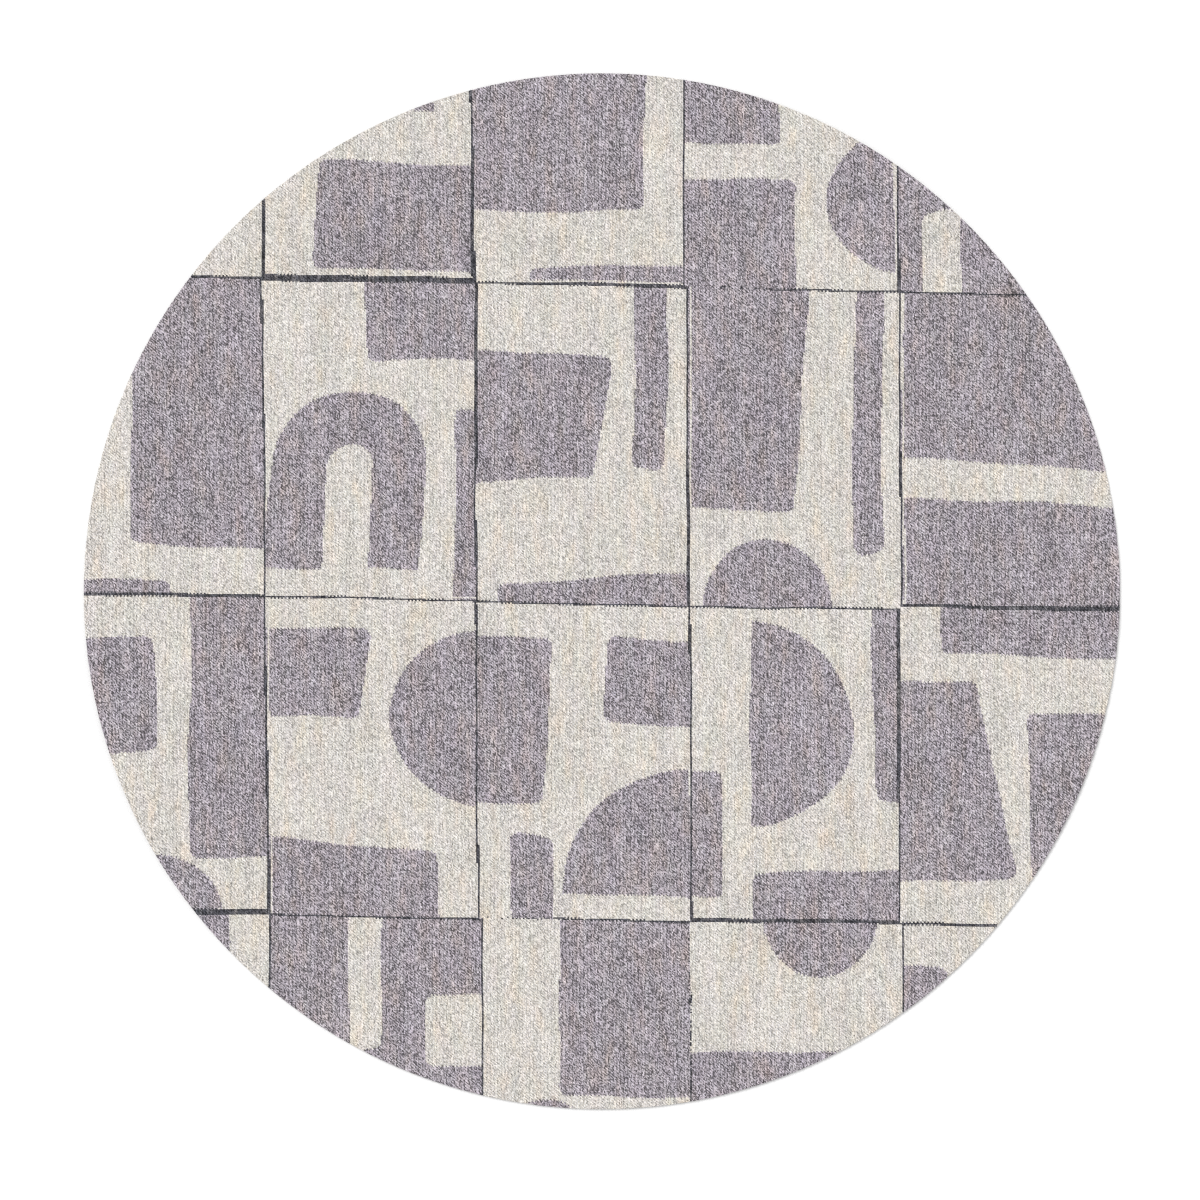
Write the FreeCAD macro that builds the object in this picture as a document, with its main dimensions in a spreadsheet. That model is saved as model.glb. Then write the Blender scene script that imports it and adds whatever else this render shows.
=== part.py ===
"""Round flat-woven area rug, 1.5 m across, lying flat with its pattern up.

+Z is up and the origin is the centre of the underside, on the floor. From the floor up the rug is an
anti-slip felt, a latex bond coat and the woven face cloth. The felt stops short of the rim. There a bias
tape covers the cloth's raw edge from below, whipped down by an outer and an inner row of hem stitches,
with its two ends lapped, and a blank woven label is sewn onto the tape.
"""

import FreeCAD, Part
import math
import os
import Sketcher

# alias, value and meaning; lengths in millimetres, bearings in degrees from +X, counts as whole numbers
DIMENSIONS = [
    ("rug_diameter", 1500.0, "overall, rim to rim"),
    ("felt_thickness", 2.0, "needled anti-slip backing"),
    ("felt_edge_round", 0.5, "softened lower edge of the felt"),
    ("felt_tape_gap", 2.0, "bare strip between the felt and the tape"),
    ("bond_thickness", 0.3, "latex that joins felt and tape to the cloth"),
    ("bond_inset", 1.5, "bond coat stops this far inside the rim"),
    ("cloth_thickness", 3.0, "chenille jacquard weave"),
    ("cloth_top_round", 1.4, "worn-over upper edge of the cloth"),
    ("cloth_base_round", 0.6, "lower edge of the cloth"),
    ("tape_width", 28.0, "cotton bias tape, laid flat"),
    ("tape_thickness", 0.6, "one layer of tape"),
    ("tape_inset", 2.0, "tape stops this far inside the rim"),
    ("tape_lap_length", 26.0, "how far the tape's end runs over its start"),
    ("tape_lap_bearing", 118.0, "where the lap begins"),
    ("thread_thickness", 0.6, "hem thread, as wide as it is thick"),
    ("stitch_pitch", 12.0, "one hand stitch to the next"),
    ("stitch_length", 7.0, "thread seen on the tape, each stitch"),
    ("stitch_corner_cut", 0.3, "how much corner the thread cuts where it turns into the cloth"),
    ("stitch_bite", 1.5, "how far a stitch's legs reach into the cloth"),
    ("row_inset", 4.0, "each row of stitches from its edge of the tape"),
    ("lap_stitch_count", 4.0, "stitches that close the lap"),
    ("lap_stitch_length", 3.0, "thread seen in each of them"),
    ("lap_stitch_margin", 3.0, "those stitches from the lap's free end"),
    ("label_length", 46.0, "blank woven label, along the tape"),
    ("label_width", 14.0, "across the tape"),
    ("label_thickness", 0.3, "one layer of label"),
    ("label_fold", 6.0, "each end is turned under this far"),
    ("label_bearing", 286.0, "where the label sits"),
    ("label_stitch_count", 3.0, "stitches at each end of the label"),
    ("label_stitch_length", 3.0, "thread seen in each of them"),
]

# expressions that several sub-parts share
RUG_RADIUS = "sizes.rug_diameter / 2"
CLOTH_BASE = "sizes.felt_thickness + sizes.bond_thickness"
TAPE_OUTER = f"({RUG_RADIUS} - sizes.tape_inset)"
TAPE_INNER = f"({TAPE_OUTER} - sizes.tape_width)"
TAPE_BASE = "(sizes.felt_thickness - sizes.tape_thickness)"
LAP_BASE = "(sizes.felt_thickness - 2 * sizes.tape_thickness)"
TAPE_MIDDLE = f"({TAPE_OUTER} - sizes.tape_width / 2)"

doc = FreeCAD.newDocument("AreaRug")


def make_sheet():
    """The spreadsheet that holds every driving dimension."""
    sheet = doc.addObject("Spreadsheet::Sheet", "sizes")
    for row, (alias, value, meaning) in enumerate(DIMENSIONS, start=1):
        sheet.set(f"A{row}", alias)
        sheet.set(f"B{row}", str(value))
        sheet.set(f"C{row}", meaning)
        sheet.setAlias(f"B{row}", alias)
    doc.recompute()
    return sheet


def plane(body, role):
    """The body's own origin plane with this role, such as XY_Plane."""
    return next(feature for feature in body.Origin.OriginFeatures if feature.Role == role)


def add_body(node):
    """An empty body whose label is the node's name."""
    body = doc.addObject("PartDesign::Body", node)
    body.Label = node
    return body


def add_sketch(body, name, role):
    """A sketch lying on one of the body's origin planes."""
    sketch = body.newObject("Sketcher::SketchObject", name)
    sketch.AttachmentSupport = [(plane(body, role), "")]
    sketch.MapMode = "FlatFace"
    return sketch


def bind(sketch, constraint, name, expression):
    """Adds a named constraint whose value is an expression on the sheet."""
    sketch.addConstraint(constraint)
    sketch.renameConstraint(sketch.ConstraintCount - 1, name)
    sketch.setExpression(f"Constraints.{name}", expression)


def rim_edges(shape, at_top):
    """Names of the round edges at the top or at the bottom of a disc."""
    level = shape.BoundBox.ZMax if at_top else shape.BoundBox.ZMin
    found = []
    for number, edge in enumerate(shape.Edges, start=1):
        box = edge.BoundBox
        if abs(box.ZMin - level) < 1e-6 and abs(box.ZMax - level) < 1e-6:
            found.append(f"Edge{number}")
    return found


def round_rim(body, feature, at_top, radius):
    """Rounds the disc's upper or lower rim."""
    doc.recompute()
    fillet = body.newObject("PartDesign::Fillet", f"{body.Name}_{'top' if at_top else 'base'}_round")
    fillet.Base = (feature, rim_edges(feature.Shape, at_top))
    fillet.setExpression("Radius", radius)
    return fillet


def add_disc(node, radius, thickness, base="0 mm"):
    """A flat disc about Z whose radius, thickness and base level are expressions."""
    body = add_body(node)
    outline = add_sketch(body, f"{node}_outline", "XY_Plane")
    outline.setExpression("AttachmentOffset.Base.z", base)
    outline.addGeometry(Part.Circle(FreeCAD.Vector(0, 0, 0), FreeCAD.Vector(0, 0, 1), 100), False)
    outline.addConstraint(Sketcher.Constraint("Coincident", 0, 3, -1, 1))
    bind(outline, Sketcher.Constraint("Radius", 0, 100), "disc_radius", radius)
    pad = body.newObject("PartDesign::Pad", f"{node}_pad")
    pad.Profile = outline
    pad.setExpression("Length", thickness)
    return body, pad


def add_rectangle(sketch, left, right, base, top):
    """A rectangle held by four expressions: distances from the sketch's axes."""
    corners = [FreeCAD.Vector(x, y, 0) for x, y in ((10, 10), (20, 10), (20, 20), (10, 20))]
    for start, end in zip(corners, corners[1:] + corners[:1]):
        sketch.addGeometry(Part.LineSegment(start, end), False)
    for side in range(4):
        sketch.addConstraint(Sketcher.Constraint("Coincident", side, 2, (side + 1) % 4, 1))
    for side, way in enumerate(("Horizontal", "Vertical", "Horizontal", "Vertical")):
        sketch.addConstraint(Sketcher.Constraint(way, side))
    bind(sketch, Sketcher.Constraint("DistanceX", -1, 1, 0, 1, 10), "left", left)
    bind(sketch, Sketcher.Constraint("DistanceX", -1, 1, 1, 1, 20), "right", right)
    bind(sketch, Sketcher.Constraint("DistanceY", -1, 1, 0, 1, 10), "base", base)
    bind(sketch, Sketcher.Constraint("DistanceY", -1, 1, 2, 1, 20), "top", top)


def face_cloth():
    """The woven cloth, out to the rim, with both its edges softened."""
    body, pad = add_disc("face_cloth", RUG_RADIUS, "sizes.cloth_thickness", CLOTH_BASE)
    upper = round_rim(body, pad, True, "sizes.cloth_top_round")
    round_rim(body, upper, False, "sizes.cloth_base_round")
    return body


def bond_coat():
    """The thin latex coat between the cloth and all that is under it."""
    body, _ = add_disc(
        "bond_coat", f"{RUG_RADIUS} - sizes.bond_inset", "sizes.bond_thickness", "sizes.felt_thickness"
    )
    return body


def backing_felt():
    """The felt that the rug lies on; it stops just inside the tape."""
    radius = f"{TAPE_INNER} - sizes.felt_tape_gap"
    body, pad = add_disc("backing_felt", radius, "sizes.felt_thickness")
    round_rim(body, pad, False, "sizes.felt_edge_round")
    return body


def hem_tape(sizes):
    """One layer of tape all the way round, and a second one where its end runs over its start."""
    body = add_body("hem_tape")
    section = add_sketch(body, "tape_section", "XZ_Plane")
    add_rectangle(section, TAPE_INNER, TAPE_OUTER, TAPE_BASE, "sizes.felt_thickness")
    ring = body.newObject("PartDesign::Revolution", "tape_ring")
    ring.Profile = section
    ring.ReferenceAxis = (section, ["V_Axis"])
    ring.Angle = 360

    lap_section = add_sketch(body, "lap_section", "XZ_Plane")
    upright = FreeCAD.Vector(0, 1, 0)
    turned = FreeCAD.Rotation(upright, sizes.tape_lap_bearing)
    lap_section.AttachmentOffset = FreeCAD.Placement(FreeCAD.Vector(0, 0, 0), turned)
    lap_section.setExpression("AttachmentOffset.Rotation.Angle", "sizes.tape_lap_bearing * 1deg")
    add_rectangle(lap_section, TAPE_INNER, TAPE_OUTER, LAP_BASE, TAPE_BASE)
    lap = body.newObject("PartDesign::Revolution", "tape_lap")
    lap.Profile = lap_section
    lap.ReferenceAxis = (lap_section, ["V_Axis"])
    lap.setExpression("Angle", f"sizes.tape_lap_length / {TAPE_MIDDLE} * 180deg / pi")
    return body


def stitch(sizes, length, underside):
    """One hand stitch along X, centred on Z: a float under the tape and a leg at each end of it.

    The thread lies flattened, as wide as it is thick, and cuts its corners where it turns into the
    cloth. The float hangs one thread below the level given, and the legs end inside the cloth.
    """
    thick = sizes.thread_thickness
    cut = sizes.stitch_corner_cut
    low = underside - thick
    high = sizes.felt_thickness + sizes.bond_thickness + sizes.stitch_bite
    outer = length / 2
    inner = outer - thick
    half = [
        (inner - cut, underside),
        (inner, underside + cut),
        (inner, high),
        (outer, high),
        (outer, low + cut),
        (outer - cut, low),
    ]
    mirrored = [(-x, z) for x, z in reversed(half)]
    outline = [FreeCAD.Vector(x, -thick / 2, z) for x, z in half + mirrored]
    face = Part.Face(Part.makePolygon(outline + outline[:1]))
    return face.extrude(FreeCAD.Vector(0, thick, 0))


def put(shape, radius, bearing, turn):
    """A copy of a stitch at this radius and bearing, turned by so many degrees from the tangent."""
    copy = shape.copy()
    copy.rotate(FreeCAD.Vector(0, 0, 0), FreeCAD.Vector(0, 0, 1), 90 + turn)
    copy.translate(FreeCAD.Vector(radius, 0, 0))
    copy.rotate(FreeCAD.Vector(0, 0, 0), FreeCAD.Vector(0, 0, 1), bearing)
    return copy


def add_stitches(node, stitches):
    """A node that holds its stitches as separate solids, checked for their number."""
    group = doc.addObject("Part::Feature", node)
    group.Label = node
    group.Shape = Part.makeCompound(stitches)
    group.Placement = FreeCAD.Placement()
    if len(group.Shape.Solids) != len(stitches):
        raise RuntimeError(f"{node}: some stitches are not solids")
    return group


def hem_stitches(node, sizes, radius):
    """A whole row of stitches round the tape; those under the lap hang one layer lower."""
    count = round(2 * math.pi * radius / sizes.stitch_pitch)
    step = 360 / count
    lap_span = math.degrees(sizes.tape_lap_length / radius)
    half_stitch = math.degrees(sizes.stitch_length / 2 / radius)
    on_tape = stitch(sizes, sizes.stitch_length, sizes.felt_thickness - sizes.tape_thickness)
    on_lap = stitch(sizes, sizes.stitch_length, sizes.felt_thickness - 2 * sizes.tape_thickness)
    row = []
    for number in range(count):
        bearing = sizes.tape_lap_bearing + (number + 0.5) * step
        past_lap_start = (bearing - sizes.tape_lap_bearing) % 360
        inside = half_stitch < past_lap_start < lap_span - half_stitch
        clear = lap_span + half_stitch < past_lap_start < 360 - half_stitch
        if inside:
            row.append(put(on_lap, radius, bearing, 0))
        elif clear:
            row.append(put(on_tape, radius, bearing, 0))
    return add_stitches(node, row)


def spread(count, first, last):
    """Evenly spaced places from first to last."""
    return [first + (last - first) * number / (count - 1) for number in range(int(count))]


def lap_stitches(sizes, outer_row, inner_row):
    """A short row across the tape that closes the lap at its free end."""
    one = stitch(sizes, sizes.lap_stitch_length, sizes.felt_thickness - 2 * sizes.tape_thickness)
    middle = (outer_row + inner_row) / 2
    margin = math.degrees(sizes.lap_stitch_margin / middle)
    bearing = sizes.tape_lap_bearing + math.degrees(sizes.tape_lap_length / middle) - margin
    clearance = 2 * sizes.thread_thickness + sizes.lap_stitch_length / 2
    places = spread(sizes.lap_stitch_count, inner_row + clearance, outer_row - clearance)
    return add_stitches("lap_stitches", [put(one, radius, bearing, 90) for radius in places])


def label_place(sizes, middle_radius):
    """Where the label's own frame sits: its length along the tape, its back against the tape."""
    bearing = math.radians(sizes.label_bearing)
    centre = FreeCAD.Vector(math.cos(bearing), math.sin(bearing), 0) * middle_radius
    centre.z = sizes.felt_thickness - sizes.tape_thickness
    return FreeCAD.Placement(centre, FreeCAD.Rotation(FreeCAD.Vector(0, 0, 1), sizes.label_bearing + 90))


def sewn_label(sizes, middle_radius):
    """A blank strip against the tape; both its ends are folded back on themselves."""
    body = add_body("sewn_label")
    half_length = "sizes.label_length / 2"
    strip = add_sketch(body, "label_strip", "XZ_Plane")
    under, over = "-2 * sizes.label_thickness", "-sizes.label_thickness"
    add_rectangle(strip, f"-{half_length}", half_length, under, over)
    pad = body.newObject("PartDesign::Pad", "label_pad")
    pad.Profile = strip
    pad.Midplane = True
    pad.setExpression("Length", "sizes.label_width")
    for side, left, right in (
        ("start", f"-{half_length}", f"-{half_length} + sizes.label_fold"),
        ("end", f"{half_length} - sizes.label_fold", half_length),
    ):
        fold = add_sketch(body, f"label_{side}_fold", "XZ_Plane")
        add_rectangle(fold, left, right, over, "0 mm")
        fold_pad = body.newObject("PartDesign::Pad", f"label_{side}_pad")
        fold_pad.Profile = fold
        fold_pad.Midplane = True
        fold_pad.setExpression("Length", "sizes.label_width")
    body.Placement = label_place(sizes, middle_radius)
    return body


def label_stitches(sizes, middle_radius):
    """Short stitches through the folded ends of the label, three to an end."""
    underside = sizes.felt_thickness - sizes.tape_thickness - 2 * sizes.label_thickness
    one = stitch(sizes, sizes.label_stitch_length, underside)
    reach = sizes.label_width / 2 - sizes.label_stitch_length / 2 - sizes.thread_thickness
    from_middle = sizes.label_length / 2 - sizes.label_fold / 2
    place = label_place(sizes, middle_radius)
    place.Base.z = 0
    sewn = []
    for along in (-from_middle, from_middle):
        for across in spread(sizes.label_stitch_count, -reach, reach):
            copy = one.copy()
            copy.rotate(FreeCAD.Vector(0, 0, 0), FreeCAD.Vector(0, 0, 1), 90)
            copy.translate(FreeCAD.Vector(along, across, 0))
            copy.Placement = place.multiply(copy.Placement)
            sewn.append(copy)
    return add_stitches("label_stitches", sewn)


def check(sub_parts):
    """Stops the build if any feature failed or any sub-part is not a valid solid."""
    for thing in doc.Objects:
        if "Invalid" in thing.State or "Error" in thing.State:
            raise RuntimeError(f"{thing.Label} did not recompute: {thing.State}")
    for sub_part in sub_parts:
        shape = sub_part.Shape
        if shape.isNull() or not shape.isValid() or not shape.Solids or shape.Volume <= 0:
            raise RuntimeError(f"{sub_part.Label} is not a valid solid")


def export(sub_parts):
    """Writes each sub-part to its own file and prints its size."""
    os.makedirs("parts", exist_ok=True)
    for sub_part in sub_parts:
        shape = sub_part.Shape
        shape.exportStep(f"parts/{sub_part.Label}.step")
        box = shape.BoundBox
        levels = f"z {box.ZMin:.2f} to {box.ZMax:.2f}"
        print(f"{sub_part.Label}: {len(shape.Solids)} solids, {levels}, {shape.Volume / 1000:.2f} cm3")


def main():
    """Builds, checks and writes the rug."""
    sizes = make_sheet()
    tape_outer = sizes.rug_diameter / 2 - sizes.tape_inset
    outer_row = tape_outer - sizes.row_inset
    inner_row = tape_outer - sizes.tape_width + sizes.row_inset
    tape_middle = tape_outer - sizes.tape_width / 2
    sub_parts = [
        face_cloth(),
        bond_coat(),
        backing_felt(),
        hem_tape(sizes),
        hem_stitches("outer_hem_stitches", sizes, outer_row),
        hem_stitches("inner_hem_stitches", sizes, inner_row),
        lap_stitches(sizes, outer_row, inner_row),
        sewn_label(sizes, tape_middle),
        label_stitches(sizes, tape_middle),
    ]
    doc.recompute()
    check(sub_parts)
    export(sub_parts)


main()
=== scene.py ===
"""Looks of a round chenille jacquard rug lying on the floor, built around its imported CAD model.

Everything is in metres, in the CAD model's frame: the origin is under the rug's centre, +Z is up, the
yarn columns of the cloth run along Y and its yarn rows along X. The woven face is one mesh laid out on
the weave itself, two quads to a yarn column and two to a row, so the pattern changes colour only where
one yarn gives way to the next.
"""

from math import atan2, cos, hypot, pi, radians, sin, sqrt, tau

import bpy
import numpy as np
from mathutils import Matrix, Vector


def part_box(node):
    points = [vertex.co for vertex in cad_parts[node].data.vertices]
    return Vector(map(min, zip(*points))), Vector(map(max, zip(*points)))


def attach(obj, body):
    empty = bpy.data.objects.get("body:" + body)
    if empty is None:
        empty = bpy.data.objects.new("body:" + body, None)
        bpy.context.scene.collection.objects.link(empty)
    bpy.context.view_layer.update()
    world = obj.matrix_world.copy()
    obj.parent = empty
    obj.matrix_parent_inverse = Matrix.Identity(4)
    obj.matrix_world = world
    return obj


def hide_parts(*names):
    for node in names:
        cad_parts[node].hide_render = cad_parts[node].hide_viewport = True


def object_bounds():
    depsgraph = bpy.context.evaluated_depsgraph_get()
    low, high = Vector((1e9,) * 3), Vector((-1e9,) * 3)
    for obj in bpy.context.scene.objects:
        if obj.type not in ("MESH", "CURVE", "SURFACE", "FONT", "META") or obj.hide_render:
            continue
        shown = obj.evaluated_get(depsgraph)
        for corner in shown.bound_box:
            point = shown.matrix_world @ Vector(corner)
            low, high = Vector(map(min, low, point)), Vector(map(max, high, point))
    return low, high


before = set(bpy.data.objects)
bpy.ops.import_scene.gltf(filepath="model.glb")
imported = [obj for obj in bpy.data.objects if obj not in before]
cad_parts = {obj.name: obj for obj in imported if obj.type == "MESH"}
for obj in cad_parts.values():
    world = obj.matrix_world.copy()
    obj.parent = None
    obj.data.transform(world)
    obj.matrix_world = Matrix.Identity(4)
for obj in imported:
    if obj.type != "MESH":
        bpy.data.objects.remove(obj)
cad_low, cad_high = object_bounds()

MM = 0.001

# ---- sizes, from the frame
cloth_low, cloth_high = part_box("face_cloth")
bond_low, bond_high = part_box("bond_coat")
felt_low, felt_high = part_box("backing_felt")
tape_low, tape_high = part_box("hem_tape")
label_low, label_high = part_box("sewn_label")
lap_thread_low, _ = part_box("lap_stitches")

RUG_RADIUS = cloth_high.x
TAPE_OUTER = tape_high.x
THREAD = tape_low.z - lap_thread_low.z  # that row hangs one thread below the lap

# ---- the weave
COLUMNS = 288  # yarn columns across the diameter
ROWS = 362  # yarn rows along it
COLUMN_PITCH = 2 * RUG_RADIUS / COLUMNS
ROW_PITCH = 2 * RUG_RADIUS / ROWS
RELIEF = 1.0 * MM  # from the crown of a yarn down to the gap beside it
RIM_ROUND = 1.4 * MM
RIM_BASE_ROUND = 0.6 * MM
RIM_LIP = 5.0 * MM  # how far the cloth's underside is turned in under the rim
CREAM, GREY, CHARCOAL = 0, 1, 2  # the three yarns


def ripple(x, y, seed, shortest, longest, waves=6):
    """A smooth wandering value from about -1 to 1, made of a few long waves in random directions."""
    rng = np.random.default_rng(seed)
    total = np.zeros(np.shape(x))
    for _ in range(waves):
        heading = rng.uniform(0, tau)
        length = rng.uniform(shortest, longest)
        along = x * cos(heading) + y * sin(heading)
        total += np.sin(tau * along / length + rng.uniform(0, tau))
    return total / sqrt(waves * 2)


def smoothstep(low, high, value):
    """0 below low, 1 above high and an even ease between them."""
    t = np.clip((value - low) / (high - low), 0, 1)
    return t * t * (3 - 2 * t)


RIM_RISE = 3.2 * MM  # the most that the rim stands off the floor
LIES_FLAT = 0.55  # the rug lies flat out to this share of its radius
SWELLS = ((2, 0.55, -0.8), (3, 0.40, 2.4), (5, 0.35, 1.1))  # waves round the rim, height, turn
CREST_POWER = 1.3  # above 1, the swells' crests are narrower than the flats between
RISE_POWER = 1.4  # above 1, the rise comes nearer to the rim


def lift(x, y):
    """How far the rug stands off the floor: nothing in the middle, a few low swells near the rim."""
    bearing = np.arctan2(y, x)
    swell = sum(height * np.cos(waves * bearing + turn) for waves, height, turn in SWELLS)
    near_rim = smoothstep(LIES_FLAT, 1.0, np.hypot(x, y) / RUG_RADIUS) ** RISE_POWER
    return RIM_RISE * np.maximum(swell, 0) ** CREST_POWER * near_rim


# ---- shapes of the pattern
# A shape is a function of x and y that is negative inside it. Tiles are drawn in hundredths of their
# width, from the tile's lower left corner. FAR is well outside any tile, and so are these corners.
FAR = 300
SW, SE, NE, NW = (-FAR, -FAR), (FAR, -FAR), (FAR, FAR), (-FAR, FAR)
HAND_CUT = 1.3  # how far the outlines waver, as if cut by hand
CUT_WAVES = (0.08, 0.35)  # the shortest and longest waves of that, in metres


def slab(*corners, rounding=4):
    """A convex shape with these corners, listed anticlockwise and rounded off."""
    points = np.array(corners, float)
    sides = []
    for start, end in zip(points, np.roll(points, -1, axis=0)):
        along = (end - start) / np.hypot(*(end - start))
        normal = np.array([along[1], -along[0]])
        sides.append((normal, normal @ start - rounding))
    inner = []
    for (before, reach_before), (after, reach_after) in zip(sides[-1:] + sides[:-1], sides):
        inner.append(np.linalg.solve([before, after], [reach_before, reach_after]))

    def distance(x, y):
        depth = np.max([n[0] * x + n[1] * y - reach for n, reach in sides], axis=0)
        gap = np.full(np.shape(x), np.inf)
        for start, end in zip(inner, inner[1:] + inner[:1]):
            run = end - start
            t = np.clip(((x - start[0]) * run[0] + (y - start[1]) * run[1]) / (run @ run), 0, 1)
            gap = np.minimum(gap, np.hypot(x - start[0] - t * run[0], y - start[1] - t * run[1]))
        return np.where(depth > 0, gap, depth) - rounding

    return distance


def block(left, bottom, right, top, rounding=4):
    """An upright rectangle with rounded corners."""
    return slab((left, bottom), (right, bottom), (right, top), (left, top), rounding=rounding)


def half_disc(x0, y0, radius, way_x, way_y):
    """The half of a disc that lies the way (way_x, way_y) points from its centre."""

    def distance(x, y):
        behind = -(way_x * (x - x0) + way_y * (y - y0))
        return np.maximum(np.hypot(x - x0, y - y0) - radius, behind)

    return distance


def quarter_disc(x0, y0, radius, way_x, way_y):
    """The quarter of a disc between the ways way_x and way_y, each 1 or -1."""
    upright = half_disc(x0, y0, radius, way_x, 0)
    level = half_disc(x0, y0, radius, 0, way_y)
    return lambda x, y: np.maximum(upright(x, y), level(x, y))


def arch(x0, spring, outer, inner, foot, lean):
    """A round-topped arch: half a ring from the height spring up, on two leaning legs down to foot."""

    def distance(x, y):
        x = x - lean * (y - foot)
        across = np.where(y > spring, np.hypot(x - x0, y - spring), np.abs(x - x0))
        return np.maximum(np.maximum(across - outer, inner - across), foot - y)

    return distance


# (column, row) of each tile, row 0 at the top, and the shapes laid on it. They are grey on cream, but
# cream on grey on the tiles named first.
GREY_GROUND = {(4, 0), (4, 1), (1, 3)}
TILES = {
    (0, 0): [],
    (1, 0): [slab((22, 5), (FAR, 0), (FAR, 50), (27, 56)), half_disc(56, 80, 25, 0, 1)],
    (2, 0): [slab((-FAR, 30), (80, 36), (88, FAR), NW), slab((16, -FAR), SE, (FAR, 17), (26, 8))],
    (3, 0): [
        half_disc(100, 42, 33, -1, 0),
        slab(SW, (45, -FAR), (53, 52), (-FAR, 46)),
        slab((-FAR, 64), (46, 68), (40, FAR), NW),
    ],
    (4, 0): [slab((16, -FAR), (36, -FAR), (30, 42), (12, 36), rounding=6)],
    (0, 1): [slab((36, 24), (FAR, 17), NE, (41, FAR)), slab(SW, (62, -FAR), (56, 6), (-FAR, 12))],
    (1, 1): [
        arch(36, 62, 37, 11, 14, lean=0.10),
        slab((48, 113), (FAR, 117), NE, (45, FAR)),
        slab((84, -FAR), SE, (FAR, 92), (92, 92), rounding=3),
    ],
    (2, 1): [
        slab((-FAR, 38), (55, 60), (65, 117), (-FAR, 130)),
        slab((4, -FAR), SE, (FAR, 37), (10, 8)),
        slab((75, 66), (90, 62), (93, FAR), (76, FAR)),
    ],
    (3, 1): [
        slab((-FAR, 64), (50, 44), (66, FAR), NW),
        slab((78, 24), (92, 28), (94, FAR), (80, FAR)),
        half_disc(37, 0, 31, 0, 1),
    ],
    (4, 1): [slab((-FAR, 62), (FAR, 40), (FAR, 55), (-FAR, 86))],
    (0, 2): [
        slab((-FAR, 48), (50, 76), (47, 130), (-FAR, 116)),
        slab((63, 26), (FAR, 33), NE, (68, FAR)),
        half_disc(50, 0, 27, 0, 1),
    ],
    (1, 2): [
        slab((-FAR, 100), (44, 93), (51, 136), (-FAR, 133)),
        slab(SW, (86, -FAR), (80, 32), (-FAR, 62)),
        half_disc(100, 95, 41, -1, 0),
    ],
    (2, 2): [
        slab((-FAR, 57), (30, 55), (36, 133), (-FAR, 134)),
        slab((12, -FAR), (32, -FAR), (36, 38), (16, 42)),
        quarter_disc(100, 12, 60, -1, 1),
        slab((60, 93), (FAR, 86), (FAR, 130), (64, 134)),
    ],
    (3, 2): [
        block(-FAR, 12, 14, 70, rounding=3),
        half_disc(28, 93, 49, 1, 0),
        slab((24, -FAR), SE, (FAR, 34), (29, 22)),
        slab((87, 58), (FAR, 56), NE, (84, FAR)),
    ],
    (4, 2): [
        slab((-FAR, 8), (57, 22), (36, 113), (-FAR, 117)),
        slab((20, 128), (FAR, 122), NE, (22, FAR)),
        slab((76, -FAR), SE, (FAR, 106), (60, 100)),
    ],
    (0, 3): [block(50, 90, 80, FAR)],
    (1, 3): [
        slab((38, 86), (52, 88), (57, FAR), (40, FAR)),
        slab((74, 80), (FAR, 84), (FAR, 118), (72, 114)),
    ],
    (2, 3): [slab((36, 66), (FAR, 72), NE, (40, FAR)), half_disc(30, 44, 20, 0, 1)],
    (3, 3): [slab(SW, SE, (FAR, 94), (-FAR, 82)), half_disc(62, 151, 27, 0, -1)],
    (4, 3): [block(-FAR, 80, 20, 130)],
}

# ---- the grid of tiles
# Four upright lines and three level ones part the tiles. They are laid by hand: the whole grid leans
# and falls a little to the right, and each tile's stretch of a line is a little off its neighbours'.
TILE_WIDTH = 0.306
TILE_HEIGHT = 0.4595
FIRST_UPRIGHT = -0.487  # x of the first upright line at the middle of the rug
FIRST_LEVEL = 0.4525  # y of the first level line where it meets that one
UPRIGHT_LEAN = -0.0076  # an upright line's change of x for each metre of y
LEVEL_FALL = -0.0185  # a level line's change of y for each metre of x
UPRIGHTS, LEVELS = 4, 3
hand = np.random.default_rng(5)
LEVEL_OFFSETS = 0.0035 * hand.uniform(-1, 1, (LEVELS, UPRIGHTS + 1))
UPRIGHT_OFFSETS = 0.0030 * hand.uniform(-1, 1, (UPRIGHTS, LEVELS + 1))
LEVEL_TILTS = 0.008 * hand.uniform(-1, 1, (LEVELS, UPRIGHTS + 1))
UPRIGHT_TILTS = 0.006 * hand.uniform(-1, 1, (UPRIGHTS, LEVELS + 1))

# A line is THIN but for these stretches: (line, tile along it) gives its width where the stretch
# starts and where it ends, in millimetres, and how it is woven. An EDGED stretch has a thin cream line
# beside it, and a FADING one starts as scattered specks. Level lines run from the left, upright ones
# from the top.
THIN = 3.0
PLAIN, EDGED, FADING = 0, 1, 2
LEVEL_STRETCHES = {
    (0, 0): (3.0, 4.2, PLAIN),
    (0, 1): (10.5, 8.5, EDGED),
    (0, 2): (3.0, 6.2, EDGED),
    (0, 3): (3.0, 3.0, FADING),
    (1, 0): (6.2, 4.5, PLAIN),
    (1, 1): (3.0, 3.0, EDGED),
    (1, 4): (3.6, 8.2, PLAIN),
    (2, 0): (10.5, 8.0, PLAIN),
    (2, 2): (3.0, 3.0, FADING),
    (2, 3): (6.2, 5.8, PLAIN),
    (2, 4): (4.5, 3.0, PLAIN),
}
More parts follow.
